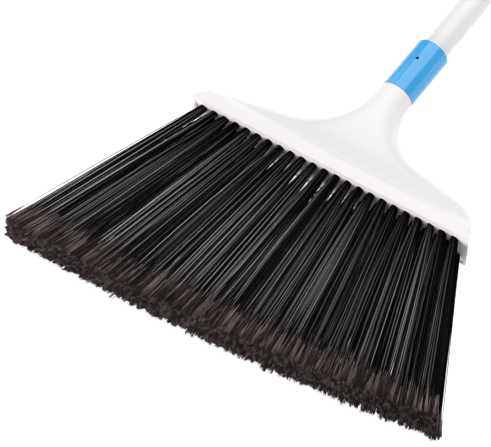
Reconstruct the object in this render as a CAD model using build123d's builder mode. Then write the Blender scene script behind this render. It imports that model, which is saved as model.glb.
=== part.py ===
from build123d import *
import os
from math import atan2, cos, degrees, pi, radians, sin, tan

os.makedirs("parts", exist_ok=True)

# The broom lies on the flat back of its head.
# X runs along the head, Y along the handle towards its hanging end, Z up out of the head's front.
# The origin lies on the flat back of the skirt, straight behind the handle axis and half way up that face.

# Head, in millimetres and degrees
head_length = 295.0
head_thickness = 44.8
skirt_height = 19.0
end_lean = 28.0
end_slant_right = 9.0
end_height_left = 26.0
end_height_right = 35.4
end_round_left = 20.0
end_round_right = 28.0
shoulder_height_left = 46.0
shoulder_height_right = 56.0
shoulder_round = 60.0
neck_height = 107.2
neck_radius = 16.0
neck_flat = 0.8
skirt_bevel_width = 7.5
skirt_bevel_gap = 0.25
skirt_round_left = 28.0
skirt_round_right = 12.0
skirt_edge_round = 1.2
rim_wall = 2.5
end_wall_left = 4.0
end_wall_right = 5.5
fan_edge_wall = 9.0
fan_face_wall = 4.5
cavity_height = 58.0

# Plank and its tufts
plank_recess = 0.8
plank_thickness = 8.0
plank_fit = 0.1
ledge_width = 1.0
head_room = 2.0
tuft_pitch = 12.3
tufts_in_outer_row = 23
row_spacing = 11.5
tuft_hole_radius = 3.5
root_bar_thickness = 2.0
root_bar_width = 7.4
root_bar_end = 4.8

# Bristles
bristle_length = 172.5
trim_angle = 4.85
trim_bow = 8.0
tip_pitch = 19.1
tip_shift = 3.8
tip_row_spacing = 13.5
strand_root_width = 1.6
strand_tip_width = 4.2
strand_tip_depth = 2.0
root_ring_radius = 2.2

# Screw between handle and head
thread_pitch = 5.08
thread_core_radius = 7.4
thread_crest_radius = 9.4
thread_length = 33.0
ridge_root_width = 2.4
ridge_crest_width = 1.4
ridge_sink = 0.4
socket_clearance = 0.4
socket_end_gap = 5.0
lug_count = 3
lug_turns_up = 4.5
lug_reach = 1.5
lug_width = 3.0
lug_height = 1.2
washer_thickness = 1.5
washer_radius = 12.8
washer_bore_radius = 10.2
washer_fit = 0.15

# Handle
tube_radius = 12.5
tube_wall = 0.8
tube_length = 1040.0
handle_fit = 0.1
flange_radius = 12.3
flange_thickness = 3.0
plug_length = 40.0
collar_radius = 16.2
collar_length = 57.6
collar_edge_round = 0.8
screw_height = 35.2
screw_head_radius = 1.4
screw_head_height = 1.0
screw_shank_radius = 1.0
screw_length = 8.0
screw_hole_gap = 0.1
cap_plug_length = 25.0
cap_bead_radius = 13.5
cap_bead_length = 12.0
cap_bead_round = 2.0
tab_width = 23.0
tab_length = 34.0
tab_thickness = 11.0
tab_edge_round = 2.0
hang_hole_radius = 5.0

# Places along the handle axis
under_y = -(skirt_height - skirt_bevel_width) / 2
axis_z = head_thickness / 2
skirt_top = under_y + skirt_height
neck_top = under_y + neck_height
plank_bottom = under_y + plank_recess
plank_top = plank_bottom + plank_thickness
root_bar_top = plank_top + root_bar_thickness
pocket_top = root_bar_top + head_room
cavity_top = under_y + cavity_height
thread_end = neck_top - thread_length
socket_end = thread_end - socket_end_gap
socket_radius = thread_crest_radius + socket_clearance
flange_top = neck_top + flange_thickness
tube_top = flange_top + tube_length
screw_y = neck_top + screw_height
tube_bore_radius = tube_radius - tube_wall
plug_radius = tube_bore_radius - handle_fit
collar_bore_radius = tube_radius + handle_fit
lean_slope = tan(radians(end_lean))
end_swing = axis_z * tan(radians(end_slant_right))


def level(y):
    """Plane square to the handle at height y, facing the hanging end."""
    return Plane(origin=(0, y, axis_z), x_dir=(1, 0, 0), z_dir=(0, 1, 0))


def end_inset(y):
    """How far the leaning ends lie inside the full head length at height y."""
    return (y - under_y) * lean_slope


def head_outline():
    """Front outline of the head: leaning ends, sloping wings, concave shoulders, straight neck."""
    half = head_length / 2
    left_y = under_y + end_height_left
    right_y = under_y + end_height_right
    left_shoulder_y = under_y + shoulder_height_left
    right_shoulder_y = under_y + shoulder_height_right
    corners = [
        ((-half, under_y), 0),
        ((half, under_y), 0),
        ((half - end_inset(right_y), right_y), end_round_right),
        ((neck_radius, right_shoulder_y), shoulder_round),
        ((neck_radius, neck_top), 0),
        ((-neck_radius, neck_top), 0),
        ((-neck_radius, left_shoulder_y), shoulder_round),
        ((-half + end_inset(left_y), left_y), end_round_left),
    ]
    with BuildSketch() as outline:
        with BuildLine():
            FilletPolyline(*[point for point, _ in corners], radius=[r for _, r in corners], close=True)
        make_face()
    return outline.sketch


def skirt_outline(right_reach):
    """Front outline of the skirt: leaning ends with rounded upper corners."""
    half = head_length / 2
    top_half = half - end_inset(skirt_top)
    corners = [
        ((-half, under_y), 0),
        ((half + right_reach, under_y), 0),
        ((top_half + right_reach, skirt_top), skirt_round_right),
        ((-top_half, skirt_top), skirt_round_left),
    ]
    with BuildSketch() as outline:
        with BuildLine():
            FilletPolyline(*[point for point, _ in corners], radius=[r for _, r in corners], close=True)
        make_face()
    return outline.sketch


def pocket_outline(bottom, top, clearance):
    """Slice of the hollow under the head, as long as the leaning ends leave room for."""
    left = -head_length / 2 + end_wall_left + clearance
    right = head_length / 2 - end_wall_right - clearance
    with BuildSketch() as outline:
        with BuildLine():
            Polyline(
                (left + end_inset(bottom), bottom),
                (right - end_inset(bottom), bottom),
                (right - end_inset(top), top),
                (left + end_inset(top), top),
                close=True,
            )
        make_face()
    return outline.sketch


# Thread ridge: one helix round the handle axis
with BuildLine() as ridge_line:
    Helix(
        thread_pitch,
        thread_length - 2 * ridge_root_width,
        thread_core_radius,
        center=(0, thread_end + ridge_root_width, axis_z),
        direction=(0, 1, 0),
    )
ridge_start = ridge_line.line @ 0
ridge_angle = degrees(atan2(ridge_start.Z - axis_z, ridge_start.X))

# Skirt: the deeper lower band of the head, bevelled towards the fan, shorter at its back on the right
outline_face = head_outline()
fan_setback = axis_z - neck_radius
bevel_depth = fan_setback - skirt_bevel_gap
with BuildPart() as skirt:
    with BuildSketch():
        add(skirt_outline(-end_swing))
    with BuildSketch(Plane.XY.offset(head_thickness)):
        add(skirt_outline(end_swing))
    loft(ruled=True)
    end_edges = skirt.faces().filter_by(Axis.Z).edges().filter_by(Axis.X, reverse=True)
    fillet(end_edges, skirt_edge_round)
    with BuildSketch(Plane.YZ):
        with BuildLine():
            Polyline(
                (under_y, 0),
                (skirt_top - skirt_bevel_width, 0),
                (skirt_top, bevel_depth),
                (skirt_top, head_thickness - bevel_depth),
                (skirt_top - skirt_bevel_width, head_thickness),
                (under_y, head_thickness),
                close=True,
            )
        make_face()
    extrude(amount=head_length, both=True, mode=Mode.INTERSECT)

# Head cover: fan with rounded edges on the skirt
pocket_width = head_thickness - 2 * rim_wall
with BuildPart() as head_cover:
    with BuildSketch(Plane.XY.offset(fan_setback)):
        add(outline_face)
    extrude(amount=2 * neck_radius)
    fan_edges = head_cover.faces().filter_by(Axis.Z).edges()
    fillet(
        fan_edges.filter_by(lambda edge: under_y < edge.center().Y < neck_top),
        neck_radius - neck_flat / 2,
    )
    add(skirt.part)
    # Pocket for the plank, a ledge that stops it, and the hollow of the fan
    with BuildSketch(Plane.XY.offset(rim_wall)):
        add(pocket_outline(under_y, plank_top, 0))
    extrude(amount=pocket_width, mode=Mode.SUBTRACT)
    with BuildSketch(Plane.XY.offset(rim_wall + ledge_width)):
        add(pocket_outline(plank_top, pocket_top, ledge_width))
    extrude(amount=pocket_width - 2 * ledge_width, mode=Mode.SUBTRACT)
    with BuildSketch(Plane.XY.offset(fan_setback + fan_face_wall)):
        offset(outline_face, -fan_edge_wall)
        with Locations((0, (plank_top + cavity_top) / 2)):
            Rectangle(head_length, cavity_top - plank_top, mode=Mode.INTERSECT)
    extrude(amount=2 * (neck_radius - fan_face_wall), mode=Mode.SUBTRACT)
    # Socket with the washer's seat and the lugs that run in the thread
    with BuildSketch(level(neck_top)):
        Circle(socket_radius)
    extrude(amount=socket_end - neck_top, mode=Mode.SUBTRACT)
    with BuildSketch(level(neck_top)):
        Circle(washer_radius + washer_fit)
    extrude(amount=-washer_thickness, mode=Mode.SUBTRACT)
    for number in range(lug_count):
        turn = number / lug_count
        lug_angle = ridge_angle - 360 * turn
        lug_y = ridge_start.Y + thread_pitch * (lug_turns_up + turn)
        lug_plane = Plane(
            origin=(0, lug_y, axis_z),
            x_dir=(cos(radians(lug_angle)), 0, sin(radians(lug_angle))),
            z_dir=(0, 1, 0),
        )
        with BuildSketch(lug_plane.offset(-lug_height / 2)):
            with Locations((socket_radius, 0)):
                Rectangle(2 * lug_reach, lug_width)
        extrude(amount=lug_height)
head_cover.part.label = "head_cover"
export_step(head_cover.part, "parts/head_cover.step")

# Tufts: where each one leaves the underside and where its tip ends
rows = {
    "front": (1, tufts_in_outer_row),
    "middle": (0, tufts_in_outer_row - 1),
    "rear": (-1, tufts_in_outer_row),
}


half_tip_span = (tufts_in_outer_row - 1) / 2 * tip_pitch


def trim_y(x):
    """Height at x of the slanting trim line, which bows down in the middle."""
    bow = trim_bow * (1 - (x / half_tip_span) ** 2)
    return under_y - bristle_length - bow + x * tan(radians(trim_angle))


def tuft_ends(side, count):
    """Root on the underside and tip on the trim line of each tuft in a row."""
    ends = []
    for number in range(count):
        place = number - (count - 1) / 2
        tip_x = place * tip_pitch + tip_shift
        root = Vector(place * tuft_pitch, under_y, axis_z + side * row_spacing)
        tip = Vector(tip_x, trim_y(tip_x), axis_z + side * tip_row_spacing)
        ends.append((root, tip))
    return ends


# Plank: lies on the ledge, every hole slanted along its tuft
with BuildPart() as tuft_plank:
    with BuildSketch(Plane.XY.offset(rim_wall + plank_fit)):
        add(pocket_outline(plank_bottom, plank_top, plank_fit))
    extrude(amount=pocket_width - 2 * plank_fit)
    hole_depth = 3 * plank_thickness
    hole_places = []
    for side, count in rows.values():
        for root, tip in tuft_ends(side, count):
            slope = (tip - root) / (tip.Y - root.Y)
            middle = root + slope * ((plank_bottom + plank_top) / 2 - root.Y)
            hole_places.append(Plane(origin=middle, z_dir=root - tip).location)
    with Locations(*hole_places):
        Cylinder(tuft_hole_radius, hole_depth, mode=Mode.SUBTRACT)
tuft_plank.part.label = "tuft_plank"
export_step(tuft_plank.part, "parts/tuft_plank.step")

# Bristles: in each tuft one strand in the middle and six round it
spots = [(0, 0)] + [(cos(pi * step / 3), sin(pi * step / 3)) for step in range(6)]
tip_ring_width = tip_pitch / 3
tip_ring_depth = tip_row_spacing / 3 / sin(pi / 3)


def make_strand(root, tip, spot):
    """Four-sided strand that widens evenly from the root bar to its tip."""
    across, along = spot
    strand_root = root + Vector(across * root_ring_radius, 0, along * root_ring_radius)
    tip_x = tip.X + across * tip_ring_width
    strand_tip = Vector(tip_x, trim_y(tip_x), tip.Z + along * tip_ring_depth)
    inner_y = plank_top + root_bar_thickness / 2
    inner_share = (inner_y - root.Y) / (strand_tip.Y - root.Y)
    with BuildPart() as strand:
        for share in (inner_share, 1):
            centre = strand_root + (strand_tip - strand_root) * share
            width = strand_root_width + (strand_tip_width - strand_root_width) * share
            depth = strand_root_width + (strand_tip_depth - strand_root_width) * share
            with BuildSketch(Plane.XZ.offset(-centre.Y)):
                with Locations((centre.X, centre.Z)):
                    Rectangle(width, depth)
        loft(ruled=True)
    return strand.part


for row_name, (side, count) in rows.items():
    tufts = tuft_ends(side, count)
    strands = [make_strand(root, tip, spot) for root, tip in tufts for spot in spots]
    bar_length = (count - 1) * tuft_pitch + 2 * root_bar_end - 2 * end_inset(root_bar_top)
    with BuildPart() as bristle_row:
        with BuildSketch(Plane.XZ.offset(-root_bar_top)):
            with Locations((0, tufts[0][0].Z)):
                Rectangle(bar_length, root_bar_width)
        extrude(amount=root_bar_thickness)
        add(strands)
    bristle_row.part.label = f"bristle_row_{row_name}"
    export_step(bristle_row.part, f"parts/bristle_row_{row_name}.step")

# Thrust washer in the neck's mouth
with BuildPart() as neck_washer:
    with BuildSketch(level(neck_top)):
        Circle(washer_radius)
        Circle(washer_bore_radius, mode=Mode.SUBTRACT)
    extrude(amount=-washer_thickness)
neck_washer.part.label = "neck_washer"
export_step(neck_washer.part, "parts/neck_washer.step")

# Threaded tip: screw below the flange, plug inside the tube
with BuildPart() as threaded_tip:
    with BuildSketch(level(thread_end)):
        Circle(thread_core_radius)
    extrude(amount=thread_length)
    with BuildSketch(level(neck_top)):
        Circle(flange_radius)
    extrude(amount=flange_thickness)
    with BuildSketch(level(flange_top)):
        Circle(plug_radius)
    extrude(amount=plug_length)
    ridge_plane = Plane(
        origin=ridge_start,
        x_dir=(ridge_start.X, 0, ridge_start.Z - axis_z),
        z_dir=ridge_line.line % 0,
    )
    with BuildSketch(ridge_plane):
        with BuildLine():
            Polyline(
                (-ridge_sink, -ridge_root_width / 2),
                (thread_crest_radius - thread_core_radius, -ridge_crest_width / 2),
                (thread_crest_radius - thread_core_radius, ridge_crest_width / 2),
                (-ridge_sink, ridge_root_width / 2),
                close=True,
            )
        make_face()
    sweep(path=ridge_line.line, is_frenet=True)
    with BuildSketch(Plane.XY.offset(axis_z + collar_radius)):
        with Locations((0, screw_y)):
            Circle(screw_shank_radius + screw_hole_gap)
    extrude(amount=-screw_length - screw_hole_gap, mode=Mode.SUBTRACT)
threaded_tip.part.label = "threaded_tip"
export_step(threaded_tip.part, "parts/threaded_tip.step")

# Handle tube
with BuildPart() as handle_tube:
    with BuildSketch(level(flange_top)):
        Circle(tube_radius)
        Circle(tube_bore_radius, mode=Mode.SUBTRACT)
    extrude(amount=tube_length)
    with BuildSketch(Plane.XY.offset(axis_z)):
        with Locations((0, screw_y)):
            Circle(screw_shank_radius + screw_hole_gap)
    extrude(amount=collar_radius, mode=Mode.SUBTRACT)
handle_tube.part.label = "handle_tube"
export_step(handle_tube.part, "parts/handle_tube.step")

# Collar: sleeve that stands on the neck's rim
with BuildPart() as collar:
    with BuildSketch(level(neck_top)):
        Circle(collar_radius)
        Circle(collar_bore_radius, mode=Mode.SUBTRACT)
    extrude(amount=collar_length)
    fillet(collar.edges().filter_by(GeomType.CIRCLE).sort_by(SortBy.RADIUS)[-2:], collar_edge_round)
    with BuildSketch(Plane.XY.offset(axis_z)):
        with Locations((0, screw_y)):
            Circle(screw_shank_radius + screw_hole_gap)
    extrude(amount=collar_radius, mode=Mode.SUBTRACT)
    with BuildSketch(Plane.XY.offset(axis_z + collar_radius)):
        with Locations((0, screw_y)):
            Circle(screw_head_radius + screw_hole_gap)
    extrude(amount=-screw_head_height, mode=Mode.SUBTRACT)
collar.part.label = "collar"
export_step(collar.part, "parts/collar.step")

# Collar screw: head let into the collar, shank down into the plug
with BuildPart() as collar_screw:
    with BuildSketch(Plane.XY.offset(axis_z + collar_radius)):
        with Locations((0, screw_y)):
            Circle(screw_head_radius)
    extrude(amount=-screw_head_height)
    with BuildSketch(Plane.XY.offset(axis_z + collar_radius)):
        with Locations((0, screw_y)):
            Circle(screw_shank_radius)
    extrude(amount=-screw_length)
collar_screw.part.label = "collar_screw"
export_step(collar_screw.part, "parts/collar_screw.step")

# Hang tab: flat tongue with the hanging hole
bead_top = tube_top + cap_bead_length
tab_end = bead_top + tab_length
tab_centre = tab_end - tab_width / 2
with BuildPart() as hang_tab:
    with BuildSketch(Plane.XY.offset(axis_z - tab_thickness / 2)):
        with Locations((0, (tube_top + tab_end) / 2)):
            SlotOverall(tab_end - tube_top, tab_width, rotation=90)
    extrude(amount=tab_thickness)
    fillet(hang_tab.faces().filter_by(Axis.Z).edges(), tab_edge_round)
    with BuildSketch(Plane.XY.offset(axis_z - tab_thickness / 2)):
        with Locations((0, tab_centre)):
            Circle(hang_hole_radius)
    extrude(amount=tab_thickness, mode=Mode.SUBTRACT)

# Hang cap: plug in the tube, bead on its end, and the tab
with BuildPart() as hang_cap:
    with BuildSketch(level(tube_top)):
        Circle(plug_radius)
    extrude(amount=-cap_plug_length)
    with BuildSketch(level(tube_top)):
        Circle(cap_bead_radius)
    extrude(amount=cap_bead_length)
    fillet(hang_cap.edges().filter_by(GeomType.CIRCLE).sort_by(Axis.Y)[-1], cap_bead_round)
    add(hang_tab.part)
hang_cap.part.label = "hang_cap"
export_step(hang_cap.part, "parts/hang_cap.step")
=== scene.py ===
import math

import bpy
import numpy as np
from mathutils import Matrix, Vector


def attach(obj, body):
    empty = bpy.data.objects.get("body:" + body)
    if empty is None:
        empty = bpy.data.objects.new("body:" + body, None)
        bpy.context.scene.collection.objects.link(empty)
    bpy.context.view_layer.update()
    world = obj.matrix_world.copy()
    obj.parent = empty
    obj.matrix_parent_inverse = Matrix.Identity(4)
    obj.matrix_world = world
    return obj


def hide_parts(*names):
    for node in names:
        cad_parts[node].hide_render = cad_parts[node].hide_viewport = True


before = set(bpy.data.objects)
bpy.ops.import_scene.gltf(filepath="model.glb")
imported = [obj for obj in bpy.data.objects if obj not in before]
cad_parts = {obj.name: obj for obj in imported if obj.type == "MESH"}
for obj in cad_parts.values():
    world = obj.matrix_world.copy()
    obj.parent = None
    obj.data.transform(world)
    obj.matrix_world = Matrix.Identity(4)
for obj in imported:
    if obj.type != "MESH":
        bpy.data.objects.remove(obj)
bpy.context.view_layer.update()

# Sizes that the bristles share with the solids, in metres
MM = 0.001
UNDER_Y = -5.75 * MM
AXIS_Z = 22.4 * MM
PLANK_TOP = 3.05 * MM
TUFT_PITCH = 12.3 * MM
ROW_SPACING = 11.5 * MM
TIP_PITCH = 19.1 * MM
TIP_SHIFT = 3.8 * MM
TIP_ROW_SPACING = 13.5 * MM
BRISTLE_LENGTH = 172.5 * MM
TRIM_SLOPE = math.tan(math.radians(4.85))
TRIM_BOW = 8.0 * MM
TUFTS_IN_OUTER_ROW = 23
TUFTS_IN_MIDDLE_ROW = 22
HALF_TIP_SPAN = (TUFTS_IN_OUTER_ROW - 1) / 2 * TIP_PITCH

# Rows: side of the handle axis, tufts, and how far the tips of the left end shift
LEFT_END_SHIFT = 5.0 * MM
ROWS = {
    "front": (1, TUFTS_IN_OUTER_ROW, LEFT_END_SHIFT),
    "middle": (0, TUFTS_IN_MIDDLE_ROW, 0.0),
    "rear": (-1, TUFTS_IN_OUTER_ROW, -LEFT_END_SHIFT),
}

# Tufts: how many filaments they hold and how these spread
FILAMENTS_IN_TUFT = 56
END_TUFT_FILL = 1.5
ROOT_RADIUS = 3.3 * MM
ROOT_SHARE = 0.04
SPOT_JITTER = 0.05
LEFT_END_START = 8
LEFT_END_TUFTS = 3
TIP_JITTER = 0.8 * MM
TIP_SPREAD_X = 11.0 * MM
TIP_SPREAD_Z = 6.2 * MM
TIP_SCATTER = 1.2 * MM
CLUMP_JITTER = 1.1 * MM
FLARE_REACH = 0.5
OUTER_REACH = 3.0
OUTER_SPREAD = 0.7
MIDDLE_END_LEAN = 6.0 * MM
FLOOR_CLEARANCE = 0.6 * MM

# Stems: rings at shares of the filament's length, width, bend and tone
TUBE_SIDES = 3
STEM_SHARES = np.array([0.0, ROOT_SHARE, 0.08, 0.12, 0.18, 0.28, 0.45, 0.65, 0.82, 0.91])
STEM_TAPER = np.array([1.0, 1.0, 1.0, 1.0, 1.0, 1.0, 1.0, 1.0, 0.8, 0.4])
FILAMENT_RADIUS = 0.48 * MM
FILAMENT_WIDTHS = (0.85, 1.1)
STEM_BEND = 1.0 * MM
OUTER_BEND = 0.4 * STEM_BEND
STRAY_SHARE = 0.03
STRAY_BEND = 3.5 * MM
BEND_SHARE_IN_DEPTH = 0.5
# Every third filament across a tuft, with a few flipped, is painted grey along its stem as a painted
# highlight; the others stay black
HIGHLIGHT_EVERY = 3
TONE_FLIPS = 0.08
# Painted light and shade: tones rise by this share towards the left end of a row and fall by it
# towards the right end
PAINTED_LIGHT_FALL_TO_RIGHT = 0.4
TUFT_TONES = (0.7, 1.0)
HIGHLIGHT_TONES = (0.3, 1.0)
HIGHLIGHT_TONE_POWER = 1.4
DARKEST_TONES = (0, 0.03)

# Split ends: fine hairs at the end of each stem
SPLIT_START = 0.85
SPLIT_LAG = 0.05
SPLIT_JITTER = 0.015
SPLIT_MARK = 0.8
HAIRS_ON_FILAMENT = 9
HAIR_SHARES = np.array([0.0, 0.3, 0.65, 1.0])
HAIR_TAPER = np.array([1.0, 1.0, 0.95, 0.8])
HAIR_GROWTH = np.array([0.0, 0.35, 0.75, 1.0])
HAIR_RADIUS = 0.3 * MM
HAIR_JITTER = 0.4 * MM
HAIR_DRIFT = 0.85 * MM
HAIR_DRIFT_LIMIT = 2.5 * HAIR_DRIFT
HAIR_START_RANGE = 0.06
LIGHT_CLUMP_SHARE = 0.38
LIGHT_CLUMP_TONES = (0.5, 1.0)
DARK_CLUMP_TONES = (0, 0.1)
CLUMP_TONE_SHARE = 0.75

# Colours of the filaments, and where along them these change
STEM_DARK = (0.002, 0.002, 0.002)
# The grey of the lighter stems is a painted highlight on black filaments
STEM_PAINTED_HIGHLIGHT = (0.53, 0.52, 0.515)
SPLIT_DARK = (0.011, 0.008, 0.008)
SPLIT_LIGHT = (0.295, 0.23, 0.226)
# The darker colour at the very ends of the filaments is painted shade
PAINTED_END_SHADE = (0.004, 0.003, 0.003)
# The painted stem highlights fade out towards the roots, down to a small share at the root end
ROOT_TONE = 0.12
ROOT_TONE_END = 0.05
FULL_TONE_START = 0.45
SPLIT_BLEND = 0.05
END_SHADE_START = 0.95
END_SHADE = 0.7
BRISTLE_ROUGHNESS = 0.45
BRISTLE_SPECULAR = 0.02

# Moulded surfaces
BLOTCH_LOW = 0.3
BLOTCH_HIGH = 0.7
GLOSSIER = 0.88
DULLER = 1.14
GRAIN_DEPTH = 0.2 * MM

# Floor and surroundings
FLOOR_REACH = 30.0
FLOOR_Z = -0.5 * MM
FLOOR_GRAIN = 3.0
FLOOR_DARK = (0.49, 0.49, 0.49)
FLOOR_LIGHT = (0.51, 0.51, 0.51)
FLOOR_ROUGHNESS = 0.8
FLOOR_GLOW = 0.85
SURROUND_STRENGTH = 0.167
WHITE = (1, 1, 1, 1)

# Camera, read from the photograph
CAMERA_TARGET = Vector((-0.03065, -0.08266, 0.02655))
CAMERA_DISTANCE = 1.87847
CAMERA_AZIMUTH = 48.606
CAMERA_ELEVATION = 54.494
CAMERA_ROLL = -14.014
CAMERA_LENS = 159.23
SENSOR_WIDTH = 36.0

rng = np.random.default_rng(7)


# Materials
def new_material(name):
    """Node material with its nodes, its links and its principled shader."""
    material = bpy.data.materials.new(name)
    material.use_nodes = True
    nodes = material.node_tree.nodes
    return material, nodes, material.node_tree.links, nodes["Principled BSDF"]


def add_noise(nodes, links, scale, detail=4.0, roughness=0.55):
    """Noise in object space."""
    coordinates = nodes.new("ShaderNodeTexCoord")
    noise = nodes.new("ShaderNodeTexNoise")
    noise.inputs["Scale"].default_value = scale
    noise.inputs["Detail"].default_value = detail
    noise.inputs["Roughness"].default_value = roughness
    links.new(coordinates.outputs["Object"], noise.inputs["Vector"])
    return noise


def add_ramp(nodes, links, source, stops):
    """Colour ramp driven by a value; stops are (place, colour)."""
    ramp = nodes.new("ShaderNodeValToRGB")
    for element, (place, colour) in zip(ramp.color_ramp.elements, stops):
        element.position = place
        element.color = (*colour, 1.0)
    links.new(source, ramp.inputs["Fac"])
    return ramp


def add_range(nodes, links, source, from_min=0.0, from_max=1.0, to_min=0.0, to_max=1.0):
    """Value taken from one range to another."""
    node = nodes.new("ShaderNodeMapRange")
    node.inputs["From Min"].default_value = from_min
    node.inputs["From Max"].default_value = from_max
    node.inputs["To Min"].default_value = to_min
    node.inputs["To Max"].default_value = to_max
    links.new(source, node.inputs["Value"])
    return node


def add_mix(nodes, links, factor, first, second):
    """Colour between two, each a plain colour or a socket."""
    mix = nodes.new("ShaderNodeMix")
    mix.data_type = "RGBA"
    links.new(factor, mix.inputs["Factor"])
    for name, colour in (("A", first), ("B", second)):
        if isinstance(colour, tuple):
            mix.inputs[name].default_value = (*colour, 1.0)
        else:
            links.new(colour, mix.inputs[name])
    return mix.outputs["Result"]


def add_bump(nodes, links, source, shader, strength):
    """Fine relief from a value."""
    bump = nodes.new("ShaderNodeBump")
    bump.inputs["Strength"].default_value = strength
    bump.inputs["Distance"].default_value = GRAIN_DEPTH
    links.new(source, bump.inputs["Height"])
    links.new(bump.outputs["Normal"], shader.inputs["Normal"])


def moulded_plastic(name, dark, light, roughness, blotch, grain, relief, specular=0.5):
    """Plastic or coating with faint blotches and a fine grain."""
    material, nodes, links, shader = new_material(name)
    blotches = add_noise(nodes, links, blotch).outputs["Fac"]
    ramp = add_ramp(nodes, links, blotches, [(BLOTCH_LOW, dark), (BLOTCH_HIGH, light)])
    links.new(ramp.outputs["Color"], shader.inputs["Base Color"])
    gloss = add_range(nodes, links, blotches, to_min=roughness * GLOSSIER, to_max=roughness * DULLER)
    links.new(gloss.outputs["Result"], shader.inputs["Roughness"])
    fine = add_noise(nodes, links, grain, detail=2.0)
    add_bump(nodes, links, fine.outputs["Fac"], shader, relief)
    shader.inputs["Specular IOR Level"].default_value = specular
    return material


def bristle_material():
    """Black filaments, some of them with a painted grey highlight along the stem, that turn soft brown
    in their split ends.
    """
    material, nodes, links, shader = new_material("bristle_filament")
    along_node = nodes.new("ShaderNodeAttribute")
    along_node.attribute_name = "along"
    along = along_node.outputs["Fac"]
    tone_node = nodes.new("ShaderNodeAttribute")
    tone_node.attribute_name = "tone"
    tone = tone_node.outputs["Fac"]
    rise = add_range(nodes, links, along, ROOT_TONE_END, FULL_TONE_START, to_min=ROOT_TONE)
    stem_tone = nodes.new("ShaderNodeMath")
    stem_tone.operation = "MULTIPLY"
    links.new(tone, stem_tone.inputs[0])
    links.new(rise.outputs["Result"], stem_tone.inputs[1])
    # Stems run from black to a painted grey highlight by their tone
    stem = add_mix(nodes, links, stem_tone.outputs["Value"], STEM_DARK, STEM_PAINTED_HIGHLIGHT)
    split = add_mix(nodes, links, tone, SPLIT_DARK, SPLIT_LIGHT)
    turn = add_range(nodes, links, along, SPLIT_MARK - SPLIT_BLEND, SPLIT_MARK + SPLIT_BLEND)
    turn.interpolation_type = "SMOOTHSTEP"
    colour = add_mix(nodes, links, turn.outputs["Result"], stem, split)
    # The very ends of the filaments are painted darker: painted shade on the end-on surface of the
    # bristles
    end_shade = add_range(nodes, links, along, from_min=END_SHADE_START, to_max=END_SHADE)
    colour = add_mix(nodes, links, end_shade.outputs["Result"], colour, PAINTED_END_SHADE)
    links.new(colour, shader.inputs["Base Color"])
    shader.inputs["Roughness"].default_value = BRISTLE_ROUGHNESS
    shader.inputs["Specular IOR Level"].default_value = BRISTLE_SPECULAR
    return material


WHITE_HEAD = moulded_plastic(
    "head_white",
    dark=(0.80, 0.775, 0.778),
    light=(0.825, 0.80, 0.803),
    roughness=0.42,
    blotch=18.0,
    grain=1400.0,
    relief=0.08,
)
# The plank's pinkish tint is a painted warm cast of light reflected from the bristles onto its white
# plastic
WHITE_PLANK = moulded_plastic(
    "plank_white",
    dark=(0.88, 0.80, 0.78),
    light=(0.93, 0.855, 0.835),
    roughness=0.5,
    blotch=40.0,
    grain=1200.0,
    relief=0.1,
)
WHITE_COAT = moulded_plastic(
    "tube_coat",
    dark=(0.73, 0.727, 0.727),
    light=(0.76, 0.757, 0.755),
    roughness=0.36,
    blotch=30.0,
    grain=900.0,
    relief=0.12,
)
BLUE_GLOSS = moulded_plastic(
    "collar_blue",
    dark=(0.046, 0.352, 0.725),
    light=(0.052, 0.368, 0.750),
    roughness=0.12,
    blotch=60.0,
    grain=700.0,
    relief=0.02,
)
PLAIN_PLASTIC = moulded_plastic(
    "inner_plastic",
    dark=(0.62, 0.62, 0.61),
    light=(0.70, 0.70, 0.69),
    roughness=0.45,
    blotch=60.0,
    grain=900.0,
    relief=0.08,
)
DARK_SCREW = moulded_plastic(
    "screw_dark",
    dark=(0.004, 0.004, 0.005),
    light=(0.010, 0.010, 0.012),
    roughness=0.6,
    blotch=900.0,
    grain=3000.0,
    relief=0.2,
    specular=0.1,
)
BRISTLE = bristle_material()

NODE_MATERIALS = {
    "head_cover": WHITE_HEAD,
    "tuft_plank": WHITE_PLANK,
    "neck_washer": PLAIN_PLASTIC,
    "threaded_tip": PLAIN_PLASTIC,
    "handle_tube": WHITE_COAT,
    "collar": BLUE_GLOSS,
    "collar_screw": DARK_SCREW,
    "hang_cap": BLUE_GLOSS,
}
for node_name, node_material in NODE_MATERIALS.items():
    node_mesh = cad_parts[node_name].data
    node_mesh.materials.clear()
    node_mesh.materials.append(node_material)


# Bristles
def trim_height(x):
    """Height of the slanting, bowed trim line at x."""
    bow = TRIM_BOW * (1 - (x / HALF_TIP_SPAN) ** 2)
    return UNDER_Y - BRISTLE_LENGTH - bow + x * TRIM_SLOPE


def disk_spots(count):
    """Evenly scattered spots in a unit disk, turned and jittered."""
    number = np.arange(count) + 0.5
    radius = np.sqrt(number / count)
    angle = number * math.pi * (3 - math.sqrt(5)) + rng.uniform(0, 2 * math.pi)
    spots = np.stack([radius * np.cos(angle), radius * np.sin(angle)], axis=1)
    return spots + rng.normal(0, SPOT_JITTER, spots.shape)


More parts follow.
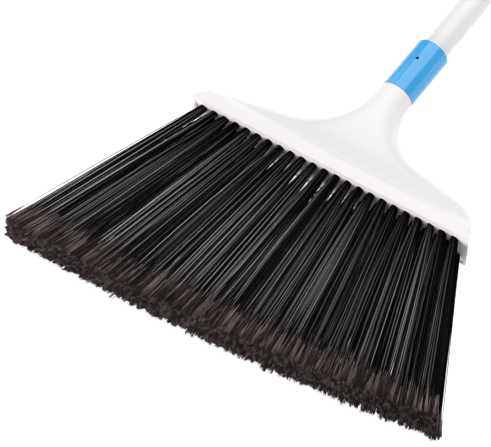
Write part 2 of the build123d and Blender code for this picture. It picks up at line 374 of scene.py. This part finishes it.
def filament_paths(side, count, left_shift):
    """Filaments of one row: ends of the tuft's middle line and of the offset from it, and values."""
    names = ("middle", "offset", "reach", "split", "tone")
    paths = {name: [] for name in names}
    last = (count - 1) / 2
    for number in range(count):
        place = number - last
        is_end = abs(place) == last
        size = round(FILAMENTS_IN_TUFT * (END_TUFT_FILL if is_end else 1))
        spots = disk_spots(size)
        outer = (spots[:, 0] * place > 0) & is_end
        # Middle of the tuft, from the top of the plank to the trim line
        left_end = max(0, min(1, (-place - LEFT_END_START) / LEFT_END_TUFTS))
        tip_x = place * TIP_PITCH + TIP_SHIFT + left_shift * left_end + rng.normal(0, TIP_JITTER)
        if side == 0 and is_end:
            tip_x += math.copysign(MIDDLE_END_LEAN, place)
        lean = (tip_x - place * TUFT_PITCH) / BRISTLE_LENGTH
        root_x = place * TUFT_PITCH - lean * (PLANK_TOP - UNDER_Y)
        middle = np.zeros((size, 2, 3))
        middle[:, 0] = root_x, PLANK_TOP, AXIS_Z + side * ROW_SPACING
        middle[:, 1] = tip_x, 0.0, AXIS_Z + side * TIP_ROW_SPACING
        # Offset from the middle, small in the hole and wide at the trim line
        spread = TIP_SPREAD_X * np.where(outer, OUTER_SPREAD, 1.0)
        offset = np.zeros((size, 2, 3))
        offset[:, 0, [0, 2]] = spots * ROOT_RADIUS
        offset[:, 1, 0] = spots[:, 0] * spread + rng.normal(0, TIP_SCATTER, size)
        offset[:, 1, 2] = spots[:, 1] * TIP_SPREAD_Z + rng.normal(0, TIP_SCATTER, size)
        clump = rng.normal(0, CLUMP_JITTER, size)
        middle[:, 1, 1] = trim_height(tip_x + offset[:, 1, 0]) + clump
        paths["middle"].append(middle)
        paths["offset"].append(offset)
        paths["reach"].append(np.where(outer, OUTER_REACH, FLARE_REACH))
        # Where each filament begins to split, and how light it is: the lightness is a painted
        # highlight, weaker towards the right end as painted shade
        lag = SPLIT_LAG * np.square(spots).sum(axis=1)
        paths["split"].append(SPLIT_START + lag + rng.normal(0, SPLIT_JITTER, size))
        order = np.argsort(np.argsort(spots[:, 0]))
        # Every third filament, with a few flipped, gets the painted highlight
        light = (order % HIGHLIGHT_EVERY == 0) ^ (rng.uniform(0, 1, size) < TONE_FLIPS)
        # The outer half of the right end tuft gets no painted highlight: painted shade on the side
        # away from the light
        light &= ~(outer & (place > 0))
        light_tones = rng.uniform(*HIGHLIGHT_TONES, size) ** HIGHLIGHT_TONE_POWER
        tones = np.where(light, light_tones, rng.uniform(*DARKEST_TONES, size))
        # Tones lighter at the left end of the row and darker at its right end: painted light and shade
        paths["tone"].append(rng.uniform(*TUFT_TONES) * (1 - PAINTED_LIGHT_FALL_TO_RIGHT * place / last) * tones)
    return [np.concatenate(paths[name]) for name in names]


def flare(share, reach):
    """How far a tuft has opened: not inside its hole, quickly below it, then more slowly."""
    below = np.clip((share - ROOT_SHARE) / (1 - ROOT_SHARE), 0, 1)
    return (1 - np.exp(-below / reach)) / (1 - np.exp(-1 / reach))


def bend_path(middles, offsets, reaches, bends, shares):
    """Points at the given shares of each filament's length."""
    share = shares[:, :, None]
    opened = flare(share, reaches[:, None, None])
    middle = middles[:, None, 0] + (middles[:, 1] - middles[:, 0])[:, None] * share
    offset = offsets[:, None, 0] + (offsets[:, 1] - offsets[:, 0])[:, None] * opened
    return middle + offset + bends[:, None] * (4 * share * (1 - share))


def place_along(shares, splits):
    """Place along each filament: 0 at its root, SPLIT_MARK where it begins to split, 1 at its tip."""
    split = splits[:, None]
    whole = SPLIT_MARK * shares / split
    parted = 1 - (1 - SPLIT_MARK) * (1 - shares) / (1 - split)
    return np.where(shares < split, whole, parted)


def tube_arrays(points, radii, along, tone):
    """Closed tubes along many paths at once: vertices, quads, caps, and two values for each vertex."""
    paths, rings = points.shape[:2]
    corner = np.arange(TUBE_SIDES)
    turn = rng.uniform(0, 2 * math.pi, paths)[:, None] + corner[None, :] * 2 * math.pi / TUBE_SIDES
    offset = np.zeros((paths, 1, TUBE_SIDES, 3))
    offset[:, 0, :, 0] = np.cos(turn)
    offset[:, 0, :, 2] = np.sin(turn)
    vertices = points[:, :, None, :] + offset * radii[:, :, None, None]
    start = np.arange(paths) * rings * TUBE_SIDES
    ring = start[:, None, None] + (np.arange(rings - 1) * TUBE_SIDES)[None, :, None]
    next_ring = ring + TUBE_SIDES
    after = (corner + 1) % TUBE_SIDES
    quads = np.stack([ring + corner, ring + after, next_ring + after, next_ring + corner], axis=-1)
    end = start + (rings - 1) * TUBE_SIDES
    caps = np.concatenate([start[:, None] + corner[::-1], end[:, None] + corner])
    along_values = np.repeat(along, TUBE_SIDES, axis=1).reshape(-1)
    tone_values = np.repeat(tone, rings * TUBE_SIDES)
    return vertices.reshape(-1, 3), quads.reshape(-1, 4), caps, along_values, tone_values


def row_blocks(side, count, left_shift):
    """Tubes of one row: its stems, then one set of hairs after the other."""
    middles, offsets, reaches, splits, tones = filament_paths(side, count, left_shift)
    total = len(middles)
    bend = np.where(rng.uniform(0, 1, total) < STRAY_SHARE, STRAY_BEND, STEM_BEND)
    bend = np.where(reaches == OUTER_REACH, OUTER_BEND, bend)
    bends = np.zeros((total, 3))
    bends[:, 0] = rng.normal(0, 1, total) * bend
    bends[:, 2] = rng.normal(0, BEND_SHARE_IN_DEPTH, total) * bend
    shares = np.broadcast_to(STEM_SHARES, (total, len(STEM_SHARES)))
    stems = bend_path(middles, offsets, reaches, bends, shares)
    thickness = FILAMENT_RADIUS * rng.uniform(*FILAMENT_WIDTHS, total)
    radii = thickness[:, None] * STEM_TAPER[None, :]
    blocks = [tube_arrays(stems, radii, place_along(shares, splits), tones)]
    light = rng.uniform(0, 1, total) < LIGHT_CLUMP_SHARE
    light_tones = rng.uniform(*LIGHT_CLUMP_TONES, total)
    clump_tones = np.where(light, light_tones, rng.uniform(*DARK_CLUMP_TONES, total))
    for _ in range(HAIRS_ON_FILAMENT):
        start = splits + rng.uniform(0, HAIR_START_RANGE, total)
        shares = start[:, None] + (1 - start)[:, None] * HAIR_SHARES[None, :]
        hairs = bend_path(middles, offsets, reaches, bends, shares)
        drift = rng.normal(0, HAIR_DRIFT, (total, 3))
        drift = np.clip(drift, -HAIR_DRIFT_LIMIT, HAIR_DRIFT_LIMIT)
        drift[:, 1] = rng.normal(0, HAIR_JITTER, total)
        hairs = hairs + drift[:, None] * HAIR_GROWTH[None, :, None]
        radii = HAIR_RADIUS * np.broadcast_to(HAIR_TAPER, shares.shape)
        own_tones = rng.uniform(0, 1, total) ** 2
        hair_tones = CLUMP_TONE_SHARE * clump_tones + (1 - CLUMP_TONE_SHARE) * own_tones
        blocks.append(tube_arrays(hairs, radii, place_along(shares, splits), hair_tones))
    return blocks


def make_row(name, blocks):
    """One object from all the tubes of a row, with the values that its material reads."""
    sizes = [len(block[0]) for block in blocks]
    shifts = np.cumsum([0] + sizes[:-1])
    vertices = np.concatenate([block[0] for block in blocks])
    vertices[:, 2] = np.maximum(vertices[:, 2], FLOOR_CLEARANCE)
    quads = np.concatenate([block[1] + shift for block, shift in zip(blocks, shifts)])
    caps = np.concatenate([block[2] + shift for block, shift in zip(blocks, shifts)])
    mesh = bpy.data.meshes.new(name)
    mesh.vertices.add(len(vertices))
    mesh.vertices.foreach_set("co", vertices.astype(np.float32).ravel())
    loops = np.concatenate([quads.ravel(), caps.ravel()])
    mesh.loops.add(len(loops))
    mesh.loops.foreach_set("vertex_index", loops.astype(np.int32))
    quad_starts = np.arange(len(quads)) * 4
    cap_starts = quads.size + np.arange(len(caps)) * TUBE_SIDES
    starts = np.concatenate([quad_starts, cap_starts])
    mesh.polygons.add(len(starts))
    mesh.polygons.foreach_set("loop_start", starts.astype(np.int32))
    mesh.update(calc_edges=True)
    mesh.polygons.foreach_set("use_smooth", np.ones(len(starts), dtype=bool))
    for attribute_name, column in (("along", 3), ("tone", 4)):
        values = np.concatenate([block[column] for block in blocks])
        attribute = mesh.attributes.new(attribute_name, "FLOAT", "POINT")
        attribute.data.foreach_set("value", values.astype(np.float32))
    mesh.materials.append(BRISTLE)
    row = bpy.data.objects.new(name, mesh)
    bpy.context.scene.collection.objects.link(row)
    return row


for row_name, (row_side, tuft_count, row_left_shift) in ROWS.items():
    filaments = make_row(f"filaments_{row_name}", row_blocks(row_side, tuft_count, row_left_shift))
    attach(filaments, "head")
    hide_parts(f"bristle_row_{row_name}")


# Floor, light and camera
def make_floor():
    """Wide plain floor under the broom."""
    mesh = bpy.data.meshes.new("floor")
    signs = ((-1, -1), (1, -1), (1, 1), (-1, 1))
    corners = [(x * FLOOR_REACH, y * FLOOR_REACH, FLOOR_Z) for x, y in signs]
    mesh.from_pydata(corners, [], [(0, 1, 2, 3)])
    material, nodes, links, shader = new_material("floor_white")
    grain = add_noise(nodes, links, FLOOR_GRAIN)
    ramp = add_ramp(nodes, links, grain.outputs["Fac"], [(0.0, FLOOR_DARK), (1.0, FLOOR_LIGHT)])
    links.new(ramp.outputs["Color"], shader.inputs["Base Color"])
    shader.inputs["Roughness"].default_value = FLOOR_ROUGHNESS
    shader.inputs["Emission Color"].default_value = WHITE
    shader.inputs["Emission Strength"].default_value = FLOOR_GLOW
    mesh.materials.append(material)
    floor = bpy.data.objects.new("floor", mesh)
    bpy.context.scene.collection.objects.link(floor)


def make_softbox(name, place, target, run, size, power):
    """Rectangular area light that faces its target, with its long side along run."""
    light = bpy.data.lights.new(name, "AREA")
    light.shape = "RECTANGLE"
    light.size, light.size_y = size
    light.energy = power
    lamp = bpy.data.objects.new(name, light)
    back = (Vector(place) - Vector(target)).normalized()
    side = back.cross(Vector(run)).normalized()
    turn = Matrix((side.cross(back), side, back)).transposed()
    lamp.matrix_world = Matrix.Translation(place) @ turn.to_4x4()
    bpy.context.scene.collection.objects.link(lamp)


def make_surround():
    """Even white light from all round."""
    world = bpy.data.worlds.new("studio")
    world.use_nodes = True
    background = world.node_tree.nodes["Background"]
    background.inputs["Color"].default_value = WHITE
    background.inputs["Strength"].default_value = SURROUND_STRENGTH
    bpy.context.scene.world = world
    bpy.context.scene.view_settings.view_transform = "Standard"


def make_camera():
    """Camera at the photograph's viewing angle."""
    data = bpy.data.cameras.new("camera")
    data.lens = CAMERA_LENS
    data.sensor_width = SENSOR_WIDTH
    data.sensor_fit = "HORIZONTAL"
    camera = bpy.data.objects.new("camera", data)
    azimuth = math.radians(CAMERA_AZIMUTH)
    elevation = math.radians(CAMERA_ELEVATION)
    back = Vector((
        math.sin(azimuth) * math.cos(elevation),
        -math.cos(azimuth) * math.cos(elevation),
        math.sin(elevation),
    ))
    right = Vector((0, 0, 1)).cross(back).normalized()
    up = back.cross(right)
    roll = Matrix.Rotation(math.radians(CAMERA_ROLL), 3, "Z")
    turn = Matrix((right, up, back)).transposed() @ roll
    place = CAMERA_TARGET + back * CAMERA_DISTANCE
    camera.matrix_world = Matrix.Translation(place) @ turn.to_4x4()
    bpy.context.scene.collection.objects.link(camera)
    bpy.context.scene.camera = camera


make_floor()
# The key and side softboxes face the collar and show as its lighter and darker half
COLLAR = (0, 0.13, 0.03)
make_softbox(
    "key_softbox",
    place=(0.096, 0.705, 1.408),
    target=COLLAR,
    run=(1.0, 0, -0.07),
    size=(2.0, 1.4),
    power=26.8,
)
make_softbox(
    "side_softbox",
    place=(-1.168, 0.706, 0.774),
    target=COLLAR,
    run=(0.537, 0, 0.843),
    size=(1.5, 0.3),
    power=2.8,
)
# The front softbox lights the bristles and the skirt from beyond the trim line
make_softbox(
    "front_softbox",
    place=(-0.1, -2.1, 0.4),
    target=(0, 0, 0.02),
    run=(1.0, 0, 0),
    size=(3.0, 0.7),
    power=54.0,
)
make_surround()
make_camera()
